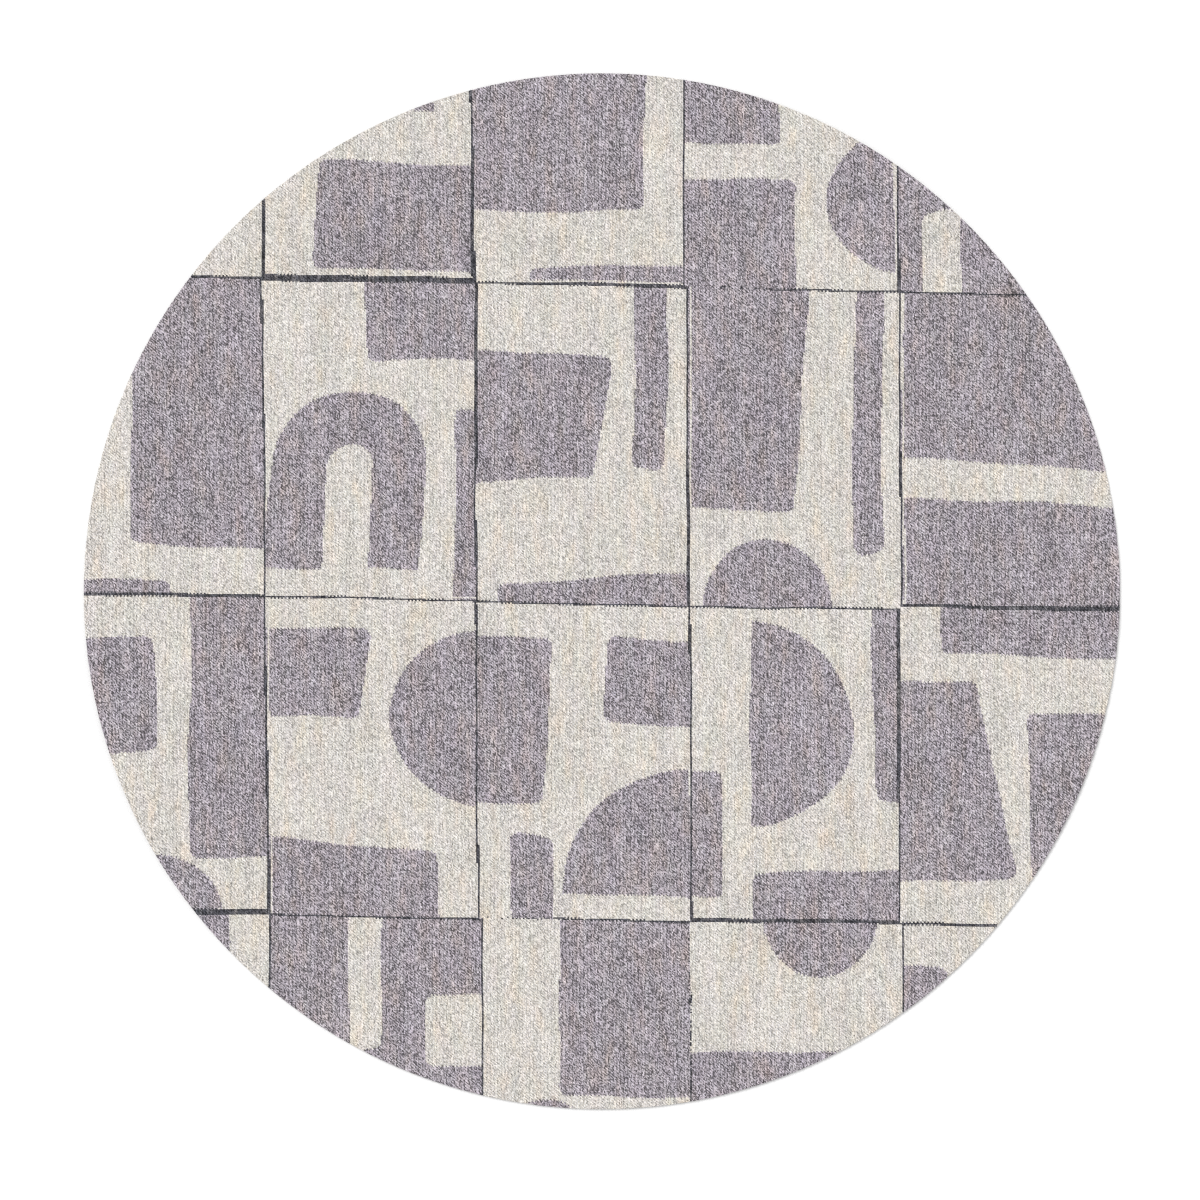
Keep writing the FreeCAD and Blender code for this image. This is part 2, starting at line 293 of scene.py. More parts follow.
UPRIGHT_STRETCHES = {
    (0, 0): (3.0, 4.5, PLAIN),
    (0, 2): (3.0, 4.5, EDGED),
    (1, 0): (3.0, 6.0, PLAIN),
    (1, 1): (4.0, 3.0, PLAIN),
    (1, 3): (3.0, 3.0, EDGED),
    (2, 1): (3.0, 5.2, EDGED),
    (2, 3): (3.0, 3.0, FADING),
    (3, 1): (4.5, 3.0, EDGED),
    (3, 2): (6.0, 3.0, PLAIN),
}
EDGING_WIDTH = 2.8 * MM
EDGING_OFFSET = 4.2 * MM  # from the middle of the line to the middle of its edging
FADE_SHARE = 0.6  # a fading stretch is whole from this share of its length on
LEVEL_WANDER = 0.6 * MM  # how far the level lines stray,
LEVEL_WAVES = (0.08, 0.25)  # and the shortest and longest waves of that
UPRIGHT_WANDER = 0.8 * MM
UPRIGHT_WAVES = (0.25, 0.60)
NO_LINE = -1


def upright_line(line, row, y):
    """x of an upright line at the height y, in one row of tiles."""
    middle = FIRST_LEVEL - (row - 0.5) * TILE_HEIGHT
    x = FIRST_UPRIGHT + line * TILE_WIDTH + UPRIGHT_LEAN * y
    return x + UPRIGHT_OFFSETS[line, row] + UPRIGHT_TILTS[line, row] * (y - middle)


def level_line(line, column, x):
    """y of a level line at x, in one column of tiles."""
    middle = FIRST_UPRIGHT + (column - 0.5) * TILE_WIDTH
    y = FIRST_LEVEL - line * TILE_HEIGHT + LEVEL_FALL * (x - FIRST_UPRIGHT)
    return y + LEVEL_OFFSETS[line, column] + LEVEL_TILTS[line, column] * (x - middle)


def tile_of(x, y):
    """The column and row of the tile that each point is in."""
    column = np.floor((x - FIRST_UPRIGHT - UPRIGHT_LEAN * y) / TILE_WIDTH).astype(int) + 1
    column = np.clip(column, 0, UPRIGHTS)
    row = sum((y < level_line(line, column, x)).astype(int) for line in range(LEVELS))
    column = sum((x > upright_line(line, row, y)).astype(int) for line in range(UPRIGHTS))
    return column, row


def mark_stretch(found, here, off, run, stretch, speckle):
    """Marks one stretch of a line, from how far off it and how far along its tile each point is."""
    start, end, kind = stretch or (THIN, THIN, PLAIN)
    width = MM * (start + (end - start) * np.clip(run, 0, 1))
    on = here & (np.abs(off) < width / 2)
    if kind == FADING:
        on &= speckle < run / FADE_SHARE
    if kind == EDGED:
        beside = here & (np.abs(off - EDGING_OFFSET) < EDGING_WIDTH / 2)
        found[beside & (found == NO_LINE)] = CREAM
    found[on] = CHARCOAL


def line_yarn_at(x, y, speckle):
    """The yarn of the lines at each point, or NO_LINE. speckle is a random value for each point."""
    column, row = tile_of(x, y)
    found = np.full(np.shape(x), NO_LINE)
    wander = LEVEL_WANDER * ripple(x, y, 21, *LEVEL_WAVES)
    for line, tile in np.ndindex(LEVELS, UPRIGHTS + 1):
        off = y - level_line(line, tile, x) - wander
        run = (x - FIRST_UPRIGHT) / TILE_WIDTH - (tile - 1)
        mark_stretch(found, column == tile, off, run, LEVEL_STRETCHES.get((line, tile)), speckle)
    wander = UPRIGHT_WANDER * ripple(x, y, 22, *UPRIGHT_WAVES)
    for line, tile in np.ndindex(UPRIGHTS, LEVELS + 1):
        off = x - upright_line(line, tile, y) - wander
        run = (FIRST_LEVEL - y) / TILE_HEIGHT - (tile - 1)
        mark_stretch(found, row == tile, off, run, UPRIGHT_STRETCHES.get((line, tile)), speckle)
    return found


def shape_yarn_at(x, y):
    """The yarn of the shapes and their ground at each point."""
    column, row = tile_of(x, y)
    yarn = np.zeros(np.shape(x), int)
    for (tile_column, tile_row), shapes in TILES.items():
        here = (column == tile_column) & (row == tile_row)
        px, py = x[here], y[here]
        if tile_column:
            left = upright_line(tile_column - 1, tile_row, py)
        else:
            left = upright_line(0, tile_row, py) - TILE_WIDTH
        if tile_row < LEVELS:
            bottom = level_line(tile_row, tile_column, px)
        else:
            bottom = level_line(LEVELS - 1, tile_column, px) - TILE_HEIGHT
        across = 100 * (px - left) / TILE_WIDTH + HAND_CUT * ripple(px, py, 41, *CUT_WAVES)
        up = 100 * (py - bottom) / TILE_WIDTH + HAND_CUT * ripple(px, py, 42, *CUT_WAVES)
        laid = np.zeros(px.shape, bool)
        for shape in shapes:
            laid |= shape(across, up) < 0
        grey = laid != ((tile_column, tile_row) in GREY_GROUND)
        yarn[here] = np.where(grey, GREY, CREAM)
    return yarn


# ---- mesh helpers
def build_mesh(name, points, faces):
    """A smooth-shaded mesh object from an array of points and a list of faces."""
    mesh = bpy.data.meshes.new(name)
    mesh.from_pydata(points.tolist(), [], faces)
    mesh.update()
    mesh.shade_smooth()
    thing = bpy.data.objects.new(name, mesh)
    bpy.context.scene.collection.objects.link(thing)
    return thing


def add_attribute(thing, name, values, domain="POINT"):
    """Stores numbers or vectors on the mesh for its material to read."""
    kind, key = ("FLOAT_VECTOR", "vector") if np.ndim(values) > 1 else ("FLOAT", "value")
    layer = thing.data.attributes.new(name, kind, domain)
    layer.data.foreach_set(key, np.asarray(values, np.float32).ravel())


def tube_faces(steps, sides, first=0):
    """The quads of a tube of so many steps, each a ring of so many points, and then its two ends."""
    faces = []
    for ring in range(first, first + steps * sides, sides):
        for k in range(sides):
            a, b = ring + k, ring + (k + 1) % sides
            faces.append([a, b, b + sides, a + sides])
    end = first + steps * sides
    faces.append(list(range(first + sides - 1, first - 1, -1)))
    faces.append(list(range(end, end + sides)))
    return faces


# ---- the woven face
FLAT_RADIUS = RUG_RADIUS - RIM_ROUND
SNAP = 0.35 * MM  # a point of the weave this near the cut is moved onto it
ON_THE_CUT = 1e-7  # and is within rounding of it after that
WANDER = 0.7 * MM  # how far the yarns stray from true
WANDER_WAVES = (0.06, 0.30)  # the shortest and longest waves of that
TOOTH = 0.9 * MM  # half of each column is laid this much ahead of the other half
LINE_TOOTH = 0.35 * MM  # the same, where a line is woven
RAGGED = 0.15 * MM  # how unevenly the colours meet
CHARCOAL_SINK = 0.25 * MM  # the charcoal yarn is finer, and lies lower
SLACK = 0.35 * MM  # broad unevenness of the cloth
SLACK_WAVES = (0.12, 0.45)
PINCH = 0.26  # how far a binder pinches a yarn, of the yarn's height
UNEVEN = 0.09  # how unevenly the beads stand, of RELIEF
UNEVEN_IN_GAPS = 0.4  # and how much of that is left in the gaps beside them
RIM_TUCK = 0.5  # how far the gaps cut into the rim, of RELIEF


def weave_height(laid):
    """Height of the weave, 0 to 1, at places counted in yarn columns and rows.

    Each column is a round ridge, pinched once in each row where a binder crosses it.
    """
    crown = np.abs(np.sin(pi * laid[:, 0]))
    bead = np.cos(tau * (laid[:, 0] + laid[:, 1]))
    return crown * (1 - PINCH + PINCH * bead)


def weave_grid():
    """The corners of all half columns and half rows: x, y, and the place in columns and rows."""
    columns = np.arange(-COLUMNS - 2, COLUMNS + 3) / 2
    rows = np.arange(-ROWS - 2, ROWS + 3) / 2
    column, row = np.meshgrid(columns, rows, indexing="ij")
    x, y = column * COLUMN_PITCH, row * ROW_PITCH
    shift_x = WANDER * ripple(x, y, 31, *WANDER_WAVES)
    shift_y = WANDER * ripple(x, y, 32, *WANDER_WAVES)
    return np.stack([x + shift_x, y + shift_y, column, row], -1)


def cut_to_circle(grid, radius):
    """Cuts a grid to a circle: returns its points and its faces, which are lists of point numbers.

    Each point is a row of values, x and y first, and all are interpolated where a side is cut.
    """
    reach = np.hypot(grid[..., 0], grid[..., 1])
    snapped = np.abs(reach - radius) < SNAP
    grid[snapped, :2] *= (radius / reach[snapped])[:, None]
    inside = ((reach < radius) | snapped).ravel()
    number = np.arange(reach.size).reshape(reach.shape)
    corners = [number[:-1, :-1], number[1:, :-1], number[1:, 1:], number[:-1, 1:]]
    quads = np.stack(corners, -1).reshape(-1, 4)
    points = grid.reshape(-1, grid.shape[-1])
    reach, snapped = reach.ravel(), snapped.ravel()
    kept = inside[quads].sum(1)
    faces = quads[kept == 4].tolist()
    cuts, cut_points = {}, []

    def crossing(start, end):
        """Number of the point where the side from start, inside, to end, outside, is cut."""
        if (start, end) not in cuts:
            t = (radius - reach[start]) / (reach[end] - reach[start])
            point = points[start] + t * (points[end] - points[start])
            point[:2] *= radius / hypot(point[0], point[1])
            cuts[start, end] = len(points) + len(cut_points)
            cut_points.append(point)
        return cuts[start, end]

    for quad in quads[(kept > 0) & (kept < 4)]:
        ring = []
        for start, end in zip(quad, np.roll(quad, -1)):
            if inside[start]:
                ring.append(start)
            if inside[start] and not inside[end] and not snapped[start]:
                ring.append(crossing(start, end))
            if inside[end] and not inside[start] and not snapped[end]:
                ring.append(crossing(end, start))
        if len(ring) > 2:
            faces.append(ring)
    points = np.vstack([points, cut_points])
    used = np.zeros(len(points), bool)
    used[np.concatenate(faces)] = True
    renumber = np.cumsum(used) - 1
    return points[used], [renumber[face].tolist() for face in faces]


def lengths_along(path):
    """How far along a path each of its points is."""
    return np.concatenate([[0], np.cumsum(np.hypot(*np.diff(path, axis=0).T))])


def rim_section():
    """The cloth's section from the flat round the rim: (in from the rim, down from the top, path)."""
    side = cloth_high.z - cloth_low.z
    section = []
    for turn in np.radians([22.5, 45, 67.5, 90]):
        section.append((RIM_ROUND * (1 - sin(turn)), RIM_ROUND * (1 - cos(turn))))
    for turn in np.radians([0, 45, 90]):
        depth = side - RIM_BASE_ROUND * (1 - sin(turn))
        section.append((RIM_BASE_ROUND * (1 - cos(turn)), depth))
    section.append((RIM_LIP, side))
    paths = lengths_along([(RIM_ROUND, 0.0), *section])[1:]
    return [(*place, path) for place, path in zip(section, paths)]


def face_yarns(centres):
    """The yarn of each face, from its centre in columns and rows."""
    rng = np.random.default_rng(8)
    half = np.where(centres[:, 0] % 1 < 0.5, 1, -1)
    x, y = centres[:, 0] * COLUMN_PITCH, centres[:, 1] * ROW_PITCH
    ragged_x, ragged_y = RAGGED * rng.normal(size=(2, len(centres)))
    yarns = shape_yarn_at(x + ragged_x, y + TOOTH * half + ragged_y)
    lines = line_yarn_at(x, y + LINE_TOOTH * half, rng.random(len(centres)))
    return np.where(lines == NO_LINE, yarns, lines)


def weave_level(at, laid, faces, yarns):
    """Height of each point of the flat: its place in the weave, with uneven beads and sunk lines."""
    rng = np.random.default_rng(3)
    charcoal, shared = np.zeros(len(at)), np.zeros(len(at))
    for face, yarn in zip(faces, yarns):
        charcoal[face] += yarn == CHARCOAL
        shared[face] += 1
    height = weave_height(laid)
    uneven = rng.normal(0, UNEVEN, len(at)) * (UNEVEN_IN_GAPS + (1 - UNEVEN_IN_GAPS) * height)
    z = cloth_high.z - RELIEF * (1 - height - uneven) - CHARCOAL_SINK * charcoal / shared
    return z + SLACK * (ripple(*at.T, 33, *SLACK_WAVES) - 1)


def turned_rim(flat):
    """Carries the edge of the flat round the rim and under: new points, quads and the quads' yarns."""
    edge = np.flatnonzero(np.abs(np.hypot(flat[:, 0], flat[:, 1]) - FLAT_RADIUS) < ON_THE_CUT)
    edge = edge[np.argsort(np.arctan2(flat[edge, 1], flat[edge, 0]))]
    at, z, laid = flat[edge, :2], flat[edge, 2], flat[edge, 3:]
    between = (laid + np.roll(laid, -1, axis=0)) / 2
    gap = 1 - weave_height(laid)
    side = cloth_high.z - cloth_low.z
    ring, rings, quads = edge, [], []
    for inset, depth, path in rim_section():
        tuck = RELIEF * RIM_TUCK * gap * sin(pi * min(depth / side, 0.9))
        reach = (RUG_RADIUS - inset - tuck) / FLAT_RADIUS
        ring_z = cloth_high.z - depth + (z - cloth_high.z) * (1 - depth / side)
        new_ring = len(flat) + len(rings) * len(edge) + np.arange(len(edge))
        rings.append(np.column_stack([at * reach[:, None], ring_z, laid * (1 + path / FLAT_RADIUS)]))
        quads += np.stack([ring, new_ring, np.roll(new_ring, -1), np.roll(ring, -1)], -1).tolist()
        ring = new_ring
    yarns = face_yarns(between * (1 - RIM_ROUND / RUG_RADIUS))
    return np.vstack(rings), quads, np.tile(yarns, len(rings))


def woven_face():
    """The patterned cloth, with its edge turned over the rim and under."""
    cut, faces = cut_to_circle(weave_grid(), FLAT_RADIUS)
    at, laid = cut[:, :2], cut[:, 2:]
    yarns = face_yarns(np.array([laid[face].mean(0) for face in faces]))
    flat = np.column_stack([at, weave_level(at, laid, faces, yarns), laid])
    rim, rim_faces, rim_yarns = turned_rim(flat)
    points = np.vstack([flat, rim])
    points[:, 2] += lift(points[:, 0], points[:, 1])
    cloth = build_mesh("woven_face", points[:, :3], faces + rim_faces)
    laid = np.column_stack([points[:, 3:], np.zeros(len(points))])
    add_attribute(cloth, "laid", laid)
    add_attribute(cloth, "yarn", np.concatenate([yarns, rim_yarns]), "FACE")
    return cloth


# ---- the pieces under the cloth
FELT_WEAR = 0.25  # how far the felt's lower edge is worn round, of its thickness


def turned_disc(name, section, segments):
    """A closed disc, lifted with the rug, from its section: (radius, height) from base to top."""
    r, z = np.array(section).T[..., None]
    bearings = np.arange(segments) * tau / segments
    x, y = r * np.cos(bearings), r * np.sin(bearings)
    rings = np.stack([x, y, z + lift(x, y)], -1)
    centres = [(0, 0, section[0][1]), (0, 0, section[-1][1])]
    points = np.vstack([rings.reshape(-1, 3), centres])
    *faces, base, top = tube_faces(len(rings) - 1, segments)
    for centre, rim in ((len(points) - 2, base), (len(points) - 1, top)):
        faces += [[rim[k - 1], rim[k], centre] for k in range(segments)]
    return build_mesh(name, points, faces)


def spaced(start, end, steps):
    """Evenly spaced values from start to end, both included."""
    return np.linspace(start, end, steps + 1).tolist()


def latex_coat():
    """The coat of latex on the cloth's back, seen only in the narrow gap round the felt."""
    across = spaced(0, bond_high.x, 30)[1:]
    section = [(r, bond_low.z) for r in across] + [(r, bond_high.z) for r in reversed(across)]
    return turned_disc("latex_coat", section, segments=360)


def felt_backing():
    """The needled felt, with its lower edge worn round."""
    radius = felt_high.x
    edge_round = FELT_WEAR * (felt_high.z - felt_low.z)
    across = spaced(0, radius - edge_round, 60)[1:]
    section = [(r, felt_low.z) for r in across]
    for turn in np.radians([60, 30, 0]):
        inset = edge_round * (1 - cos(turn))
        section.append((radius - inset, felt_low.z + edge_round * (1 - sin(turn))))
    section += [(radius, felt_high.z)] + [(r, felt_high.z) for r in reversed(across)]
    return turned_disc("felt_backing", section, segments=480)


# ---- hem tape and stitches
TAPE_THICKNESS = (tape_high.z - tape_low.z) / 2  # the box holds two layers, at the lap
TAPE_INNER = felt_high.x + 2 * MM
TAPE_MIDDLE = (TAPE_INNER + TAPE_OUTER) / 2
STITCH_PITCH = 12 * MM
STITCH_LENGTH = 7 * MM
ROW_INSET = 4 * MM  # each row of stitches from its edge of the tape
SHORT_STITCH = 3 * MM  # the stitches of the lap and of the label
LAP_ROW_INSET = 3 * MM  # the row that closes the lap, from the tape's free end
TAPE_STEPS = 2400
LAYER_GAP = 0.02 * MM  # keeps the tape clear of what is above its layer
TAPE_FILL = 0.94  # how much of its CAD layer the tape is given
SKIN, EDGE_SKIN = 0.06, 0.4  # how far inside that its faces are, and at the tape's edges
SOFT_EDGE = 0.3  # how wide those edges are, of the layer
LAP_SLOPE = 5 * MM  # the tape steps over its own start in this length
DRAWN_IN = 0.35 * MM  # how far a stitch draws the tape's edges in
PUFF = 0.10 * MM  # how far the tape stands out between stitches


def lap_bearings():
    """Where the tape's second layer starts and ends, from the lowest points of its CAD solid."""
    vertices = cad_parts["hem_tape"].data.vertices
    low = [v.co for v in vertices if v.co.z < tape_low.z + TAPE_THICKNESS / 2]
    bearings = [atan2(point.y, point.x) for point in low]
    return min(bearings), max(bearings)


LAP_START, LAP_END = lap_bearings()
LAP_TURN = LAP_END - LAP_START


def tape_section(half):
    """Points round the tape's section: how far across it, and how far down its layer, 0 to 1."""
    soft = TAPE_THICKNESS * SOFT_EDGE
    across = [-half, -half + soft, *spaced(-half, half, 8)[1:-1], half - soft, half]
    section = [(t, EDGE_SKIN if abs(t) > half - soft / 2 else SKIN) for t in across]
    section += [(t, 1 - depth) for t, depth in reversed(section)]
    return np.array(section).T


def hem_tape_piece():
    """Cotton tape laid once round and lapped, drawn in a little by every stitch."""
    half = (TAPE_OUTER - TAPE_INNER) / 2
    t, depth = tape_section(half)
    along = np.linspace(0, tau + LAP_TURN, TAPE_STEPS + 1)[:, None]
    pull = 0.5 - 0.5 * np.cos(tau * along * TAPE_MIDDLE / STITCH_PITCH)
    drawn_in = DRAWN_IN * pull * np.abs(t / half) ** 4 * np.sign(t)
    r = TAPE_MIDDLE + t - drawn_in
    bearing = LAP_START + along + 0 * t
    x, y = r * np.cos(bearing), r * np.sin(bearing)
    over = smoothstep(tau - LAP_SLOPE / TAPE_MIDDLE, tau, along)
    top = tape_high.z - TAPE_THICKNESS * over - LAYER_GAP
    puff = PUFF * (1 - pull) * (depth > 0.5)
    z = top - TAPE_THICKNESS * TAPE_FILL * depth - puff + lift(x, y)
    points = np.stack([x, y, z], -1).reshape(-1, 3)
    tape = build_mesh("hem_tape_cotton", points, tube_faces(TAPE_STEPS, len(t)))
    laid = np.stack([TAPE_MIDDLE * along + 0 * t, t + 0 * along, 0 * x], -1)
    add_attribute(tape, "laid", laid)
    return tape


PLY_RADIUS = 0.29 * THREAD
PLY_OFFSET = 0.21 * THREAD  # from the middle of the thread to the middle of each ply
PLY_TWIST = 2.4 * MM  # length of thread to one turn
THREAD_STEP = 0.42 * MM
STITCH_CORNER = 0.9 * MM  # where the thread turns out of the cloth
STITCH_SAG = 0.08 * MM  # how far its middle hangs
STITCH_BITE = 0.05 * MM  # and how far the whole is pulled into the cloth
SEWN_ASKEW = 0.03  # spread of the stitches' turns, in radians


def thread_path(length, level):
    """Centre line of one stitch along X: out of the cloth, along under the level given, and back in."""
    reach, low, high = length / 2 - THREAD / 2, level - THREAD / 2, level + THREAD / 2
    corner = min(STITCH_CORNER, reach / 2)
    path = [(-reach, bond_high.z + THREAD), (-reach, high)]
    for turn in np.radians([20, 45, 70]):
        path.append((-reach + corner * (1 - cos(turn)), high - THREAD * sin(turn)))
    flat = spaced(-reach + corner, reach - corner, max(2, round(length / MM)))
    middle = [(x, low + STITCH_BITE - STITCH_SAG * cos(pi * x / (2 * reach))) for x in flat]
    mirrored = [(-x, z) for x, z in reversed(path)]
    return np.array(path + middle + mirrored)


def thread_mesh(length, level, sides=5):
    """One stitch of two-ply thread as points and faces: two plies twisted about one path."""
    path = thread_path(length, level)
    run = lengths_along(path)
    steps = max(10, round(run[-1] / THREAD_STEP))
    at = np.linspace(0, run[-1], steps + 1)
    x, z = (np.interp(at, run, values) for values in path.T)
    slope_x, slope_z = np.gradient(x), np.gradient(z)
    size = np.hypot(slope_x, slope_z)
    normal = np.stack([-slope_z / size, 0 * x, slope_x / size], -1)
    side = np.array([0.0, 1.0, 0.0])
    centre = np.stack([x, 0 * x, z], -1)

    def offset(angle, radius):
        """So far off the path, at an angle from its normal towards its side."""
        return radius * (np.cos(angle)[..., None] * normal + np.sin(angle)[..., None] * side)

    points, faces = [], []
    for ply in range(2):
        middle = centre + offset(tau * at / PLY_TWIST + pi * ply, PLY_OFFSET)
        angles = np.arange(sides) * tau / sides
        rings = [middle + offset(np.full(steps + 1, angle), PLY_RADIUS) for angle in angles]
        points.append(np.stack(rings, 1).reshape(-1, 3))
        faces += tube_faces(steps, sides, first=ply * (steps + 1) * sides)
    return np.vstack(points), faces


def turned(points, x, y, turn):
    """x and y of points that are turned about the origin and then moved to (x, y)."""
    c, s = cos(turn), sin(turn)
    return x + c * points[..., 0] - s * points[..., 1], y + s * points[..., 0] + c * points[..., 1]


def sew(name, places):
    """A piece made of stitches: each place is (template, x, y, turn in radians from +X)."""
    rng = np.random.default_rng(len(places))
    all_points, all_faces, count = [], [], 0
    for (points, faces), x, y, turn in places:
        px, py = turned(points, x, y, turn + rng.normal(0, SEWN_ASKEW))
        all_points.append(np.stack([px, py, points[:, 2] + lift(x, y)], -1))
        all_faces += [[corner + count for corner in face] for face in faces]
        count += len(points)
    return build_mesh(name, np.vstack(all_points), all_faces)


def around(radius, bearing, template, turn):
    """A place for a stitch at this radius and bearing, turned so far from the tape's own run."""
    x, y = radius * cos(bearing), radius * sin(bearing)
    return template, x, y, bearing + pi / 2 + turn


def hem_row(name, radius):
    """A row of stitches round the tape; those wholly on the lap hang one layer lower."""
    on_tape = thread_mesh(STITCH_LENGTH, tape_high.z - TAPE_THICKNESS)
    on_lap = thread_mesh(STITCH_LENGTH, tape_high.z - 2 * TAPE_THICKNESS)
    count = round(tau * radius / STITCH_PITCH)
    half = STITCH_LENGTH / 2 / radius
    places = []
    for past_start in (np.arange(count) + 0.5) * tau / count:
        if half < past_start < LAP_TURN - half:
            places.append(around(radius, LAP_START + past_start, on_lap, 0))
        elif LAP_TURN + half < past_start < tau - half:
            places.append(around(radius, LAP_START + past_start, on_tape, 0))
    return sew(name, places)


def lap_row():
    """Short stitches across the tape that close the lap at its free end."""
    template = thread_mesh(SHORT_STITCH, tape_high.z - 2 * TAPE_THICKNESS)
    bearing = LAP_END - LAP_ROW_INSET / TAPE_MIDDLE
    clear = ROW_INSET + 2 * THREAD + SHORT_STITCH / 2
    radii = spaced(TAPE_INNER + clear, TAPE_OUTER - clear, 3)
    return sew("lap_thread", [around(radius, bearing, template, pi / 2) for radius in radii])


LABEL_LENGTH, LABEL_WIDTH, LABEL_FOLD = 46 * MM, 14 * MM, 6 * MM
RIBBON_FILL = 0.84  # thickness of the ribbon as woven, of its CAD layer
LABEL_LAYER = (label_high.z - label_low.z) / 2
LABEL_CENTRE = (label_low + label_high) / 2
LABEL_BEARING = atan2(LABEL_CENTRE.y, LABEL_CENTRE.x)


def on_label(points):
    """Points of the label's own frame, along and across it, turned and moved to its place."""
    x, y = turned(points, LABEL_CENTRE.x, LABEL_CENTRE.y, LABEL_BEARING + pi / 2)
    return np.stack([x, y, points[..., 2] + lift(x, y)], -1)


def blank_label():
    """A blank satin ribbon with both its ends folded back, one closed strip as thick as the ribbon."""
    lower, upper = label_low.z + LABEL_LAYER / 2, label_high.z - LABEL_LAYER / 2
    end, start = LABEL_LENGTH / 2 - LABEL_LAYER, LABEL_LENGTH / 2 - LABEL_FOLD
    middle, bend = (lower + upper) / 2, (upper - lower) / 2
    half = [(x, lower) for x in spaced(0, end, 20)]
    for turn in np.radians([30, 60, 90, 120, 150]):
        half.append((end + bend * sin(turn), middle - bend * cos(turn)))
    half += [(x, upper) for x in spaced(end, start, 4)]
    line = np.array([(-x, z) for x, z in reversed(half[1:])] + half)
    slope = np.gradient(line, axis=0)
    normal = np.stack([-slope[:, 1], slope[:, 0]], -1) / np.hypot(*slope.T)[:, None]
    across = spaced(-LABEL_WIDTH / 2, LABEL_WIDTH / 2, 12)
    w = np.array(across + across[::-1])
    way = np.repeat([-1, 1], len(across))[:, None]
    skin = line[:, None] + way * LABEL_LAYER * RIBBON_FILL / 2 * normal[:, None]
    points = np.stack([skin[..., 0], w + 0 * skin[..., 0], skin[..., 1]], -1).reshape(-1, 3)
    label = build_mesh("blank_label", on_label(points), tube_faces(len(line) - 1, len(w)))
    run = lengths_along(line)[:, None]
    laid = np.stack([run + 0 * w, w + 0 * run, 0 * w + 0 * run], -1)
    add_attribute(label, "laid", laid)
    return label


def label_row():
    """Short stitches through the folded ends of the label, three to an end."""
    template = thread_mesh(SHORT_STITCH, label_low.z)
    reach = LABEL_WIDTH / 2 - SHORT_STITCH / 2 - THREAD
    end = (LABEL_LENGTH - LABEL_FOLD) / 2
    centres = [(along, across, 0.0) for along in (-end, end) for across in spaced(-reach, reach, 2)]
    places = [(template, x, y, LABEL_BEARING) for x, y, _ in on_label(np.array(centres))]
    return sew("label_thread", places)


# ---- materials
def srgb(red, green, blue):
    """A colour given as 0 to 255 on a screen, as the linear values that nodes take."""
    screen = (red / 255, green / 255, blue / 255)
    linear = [v / 12.92 if v <= 0.04045 else ((v + 0.055) / 1.055) ** 2.4 for v in screen]
    return (*linear, 1.0)


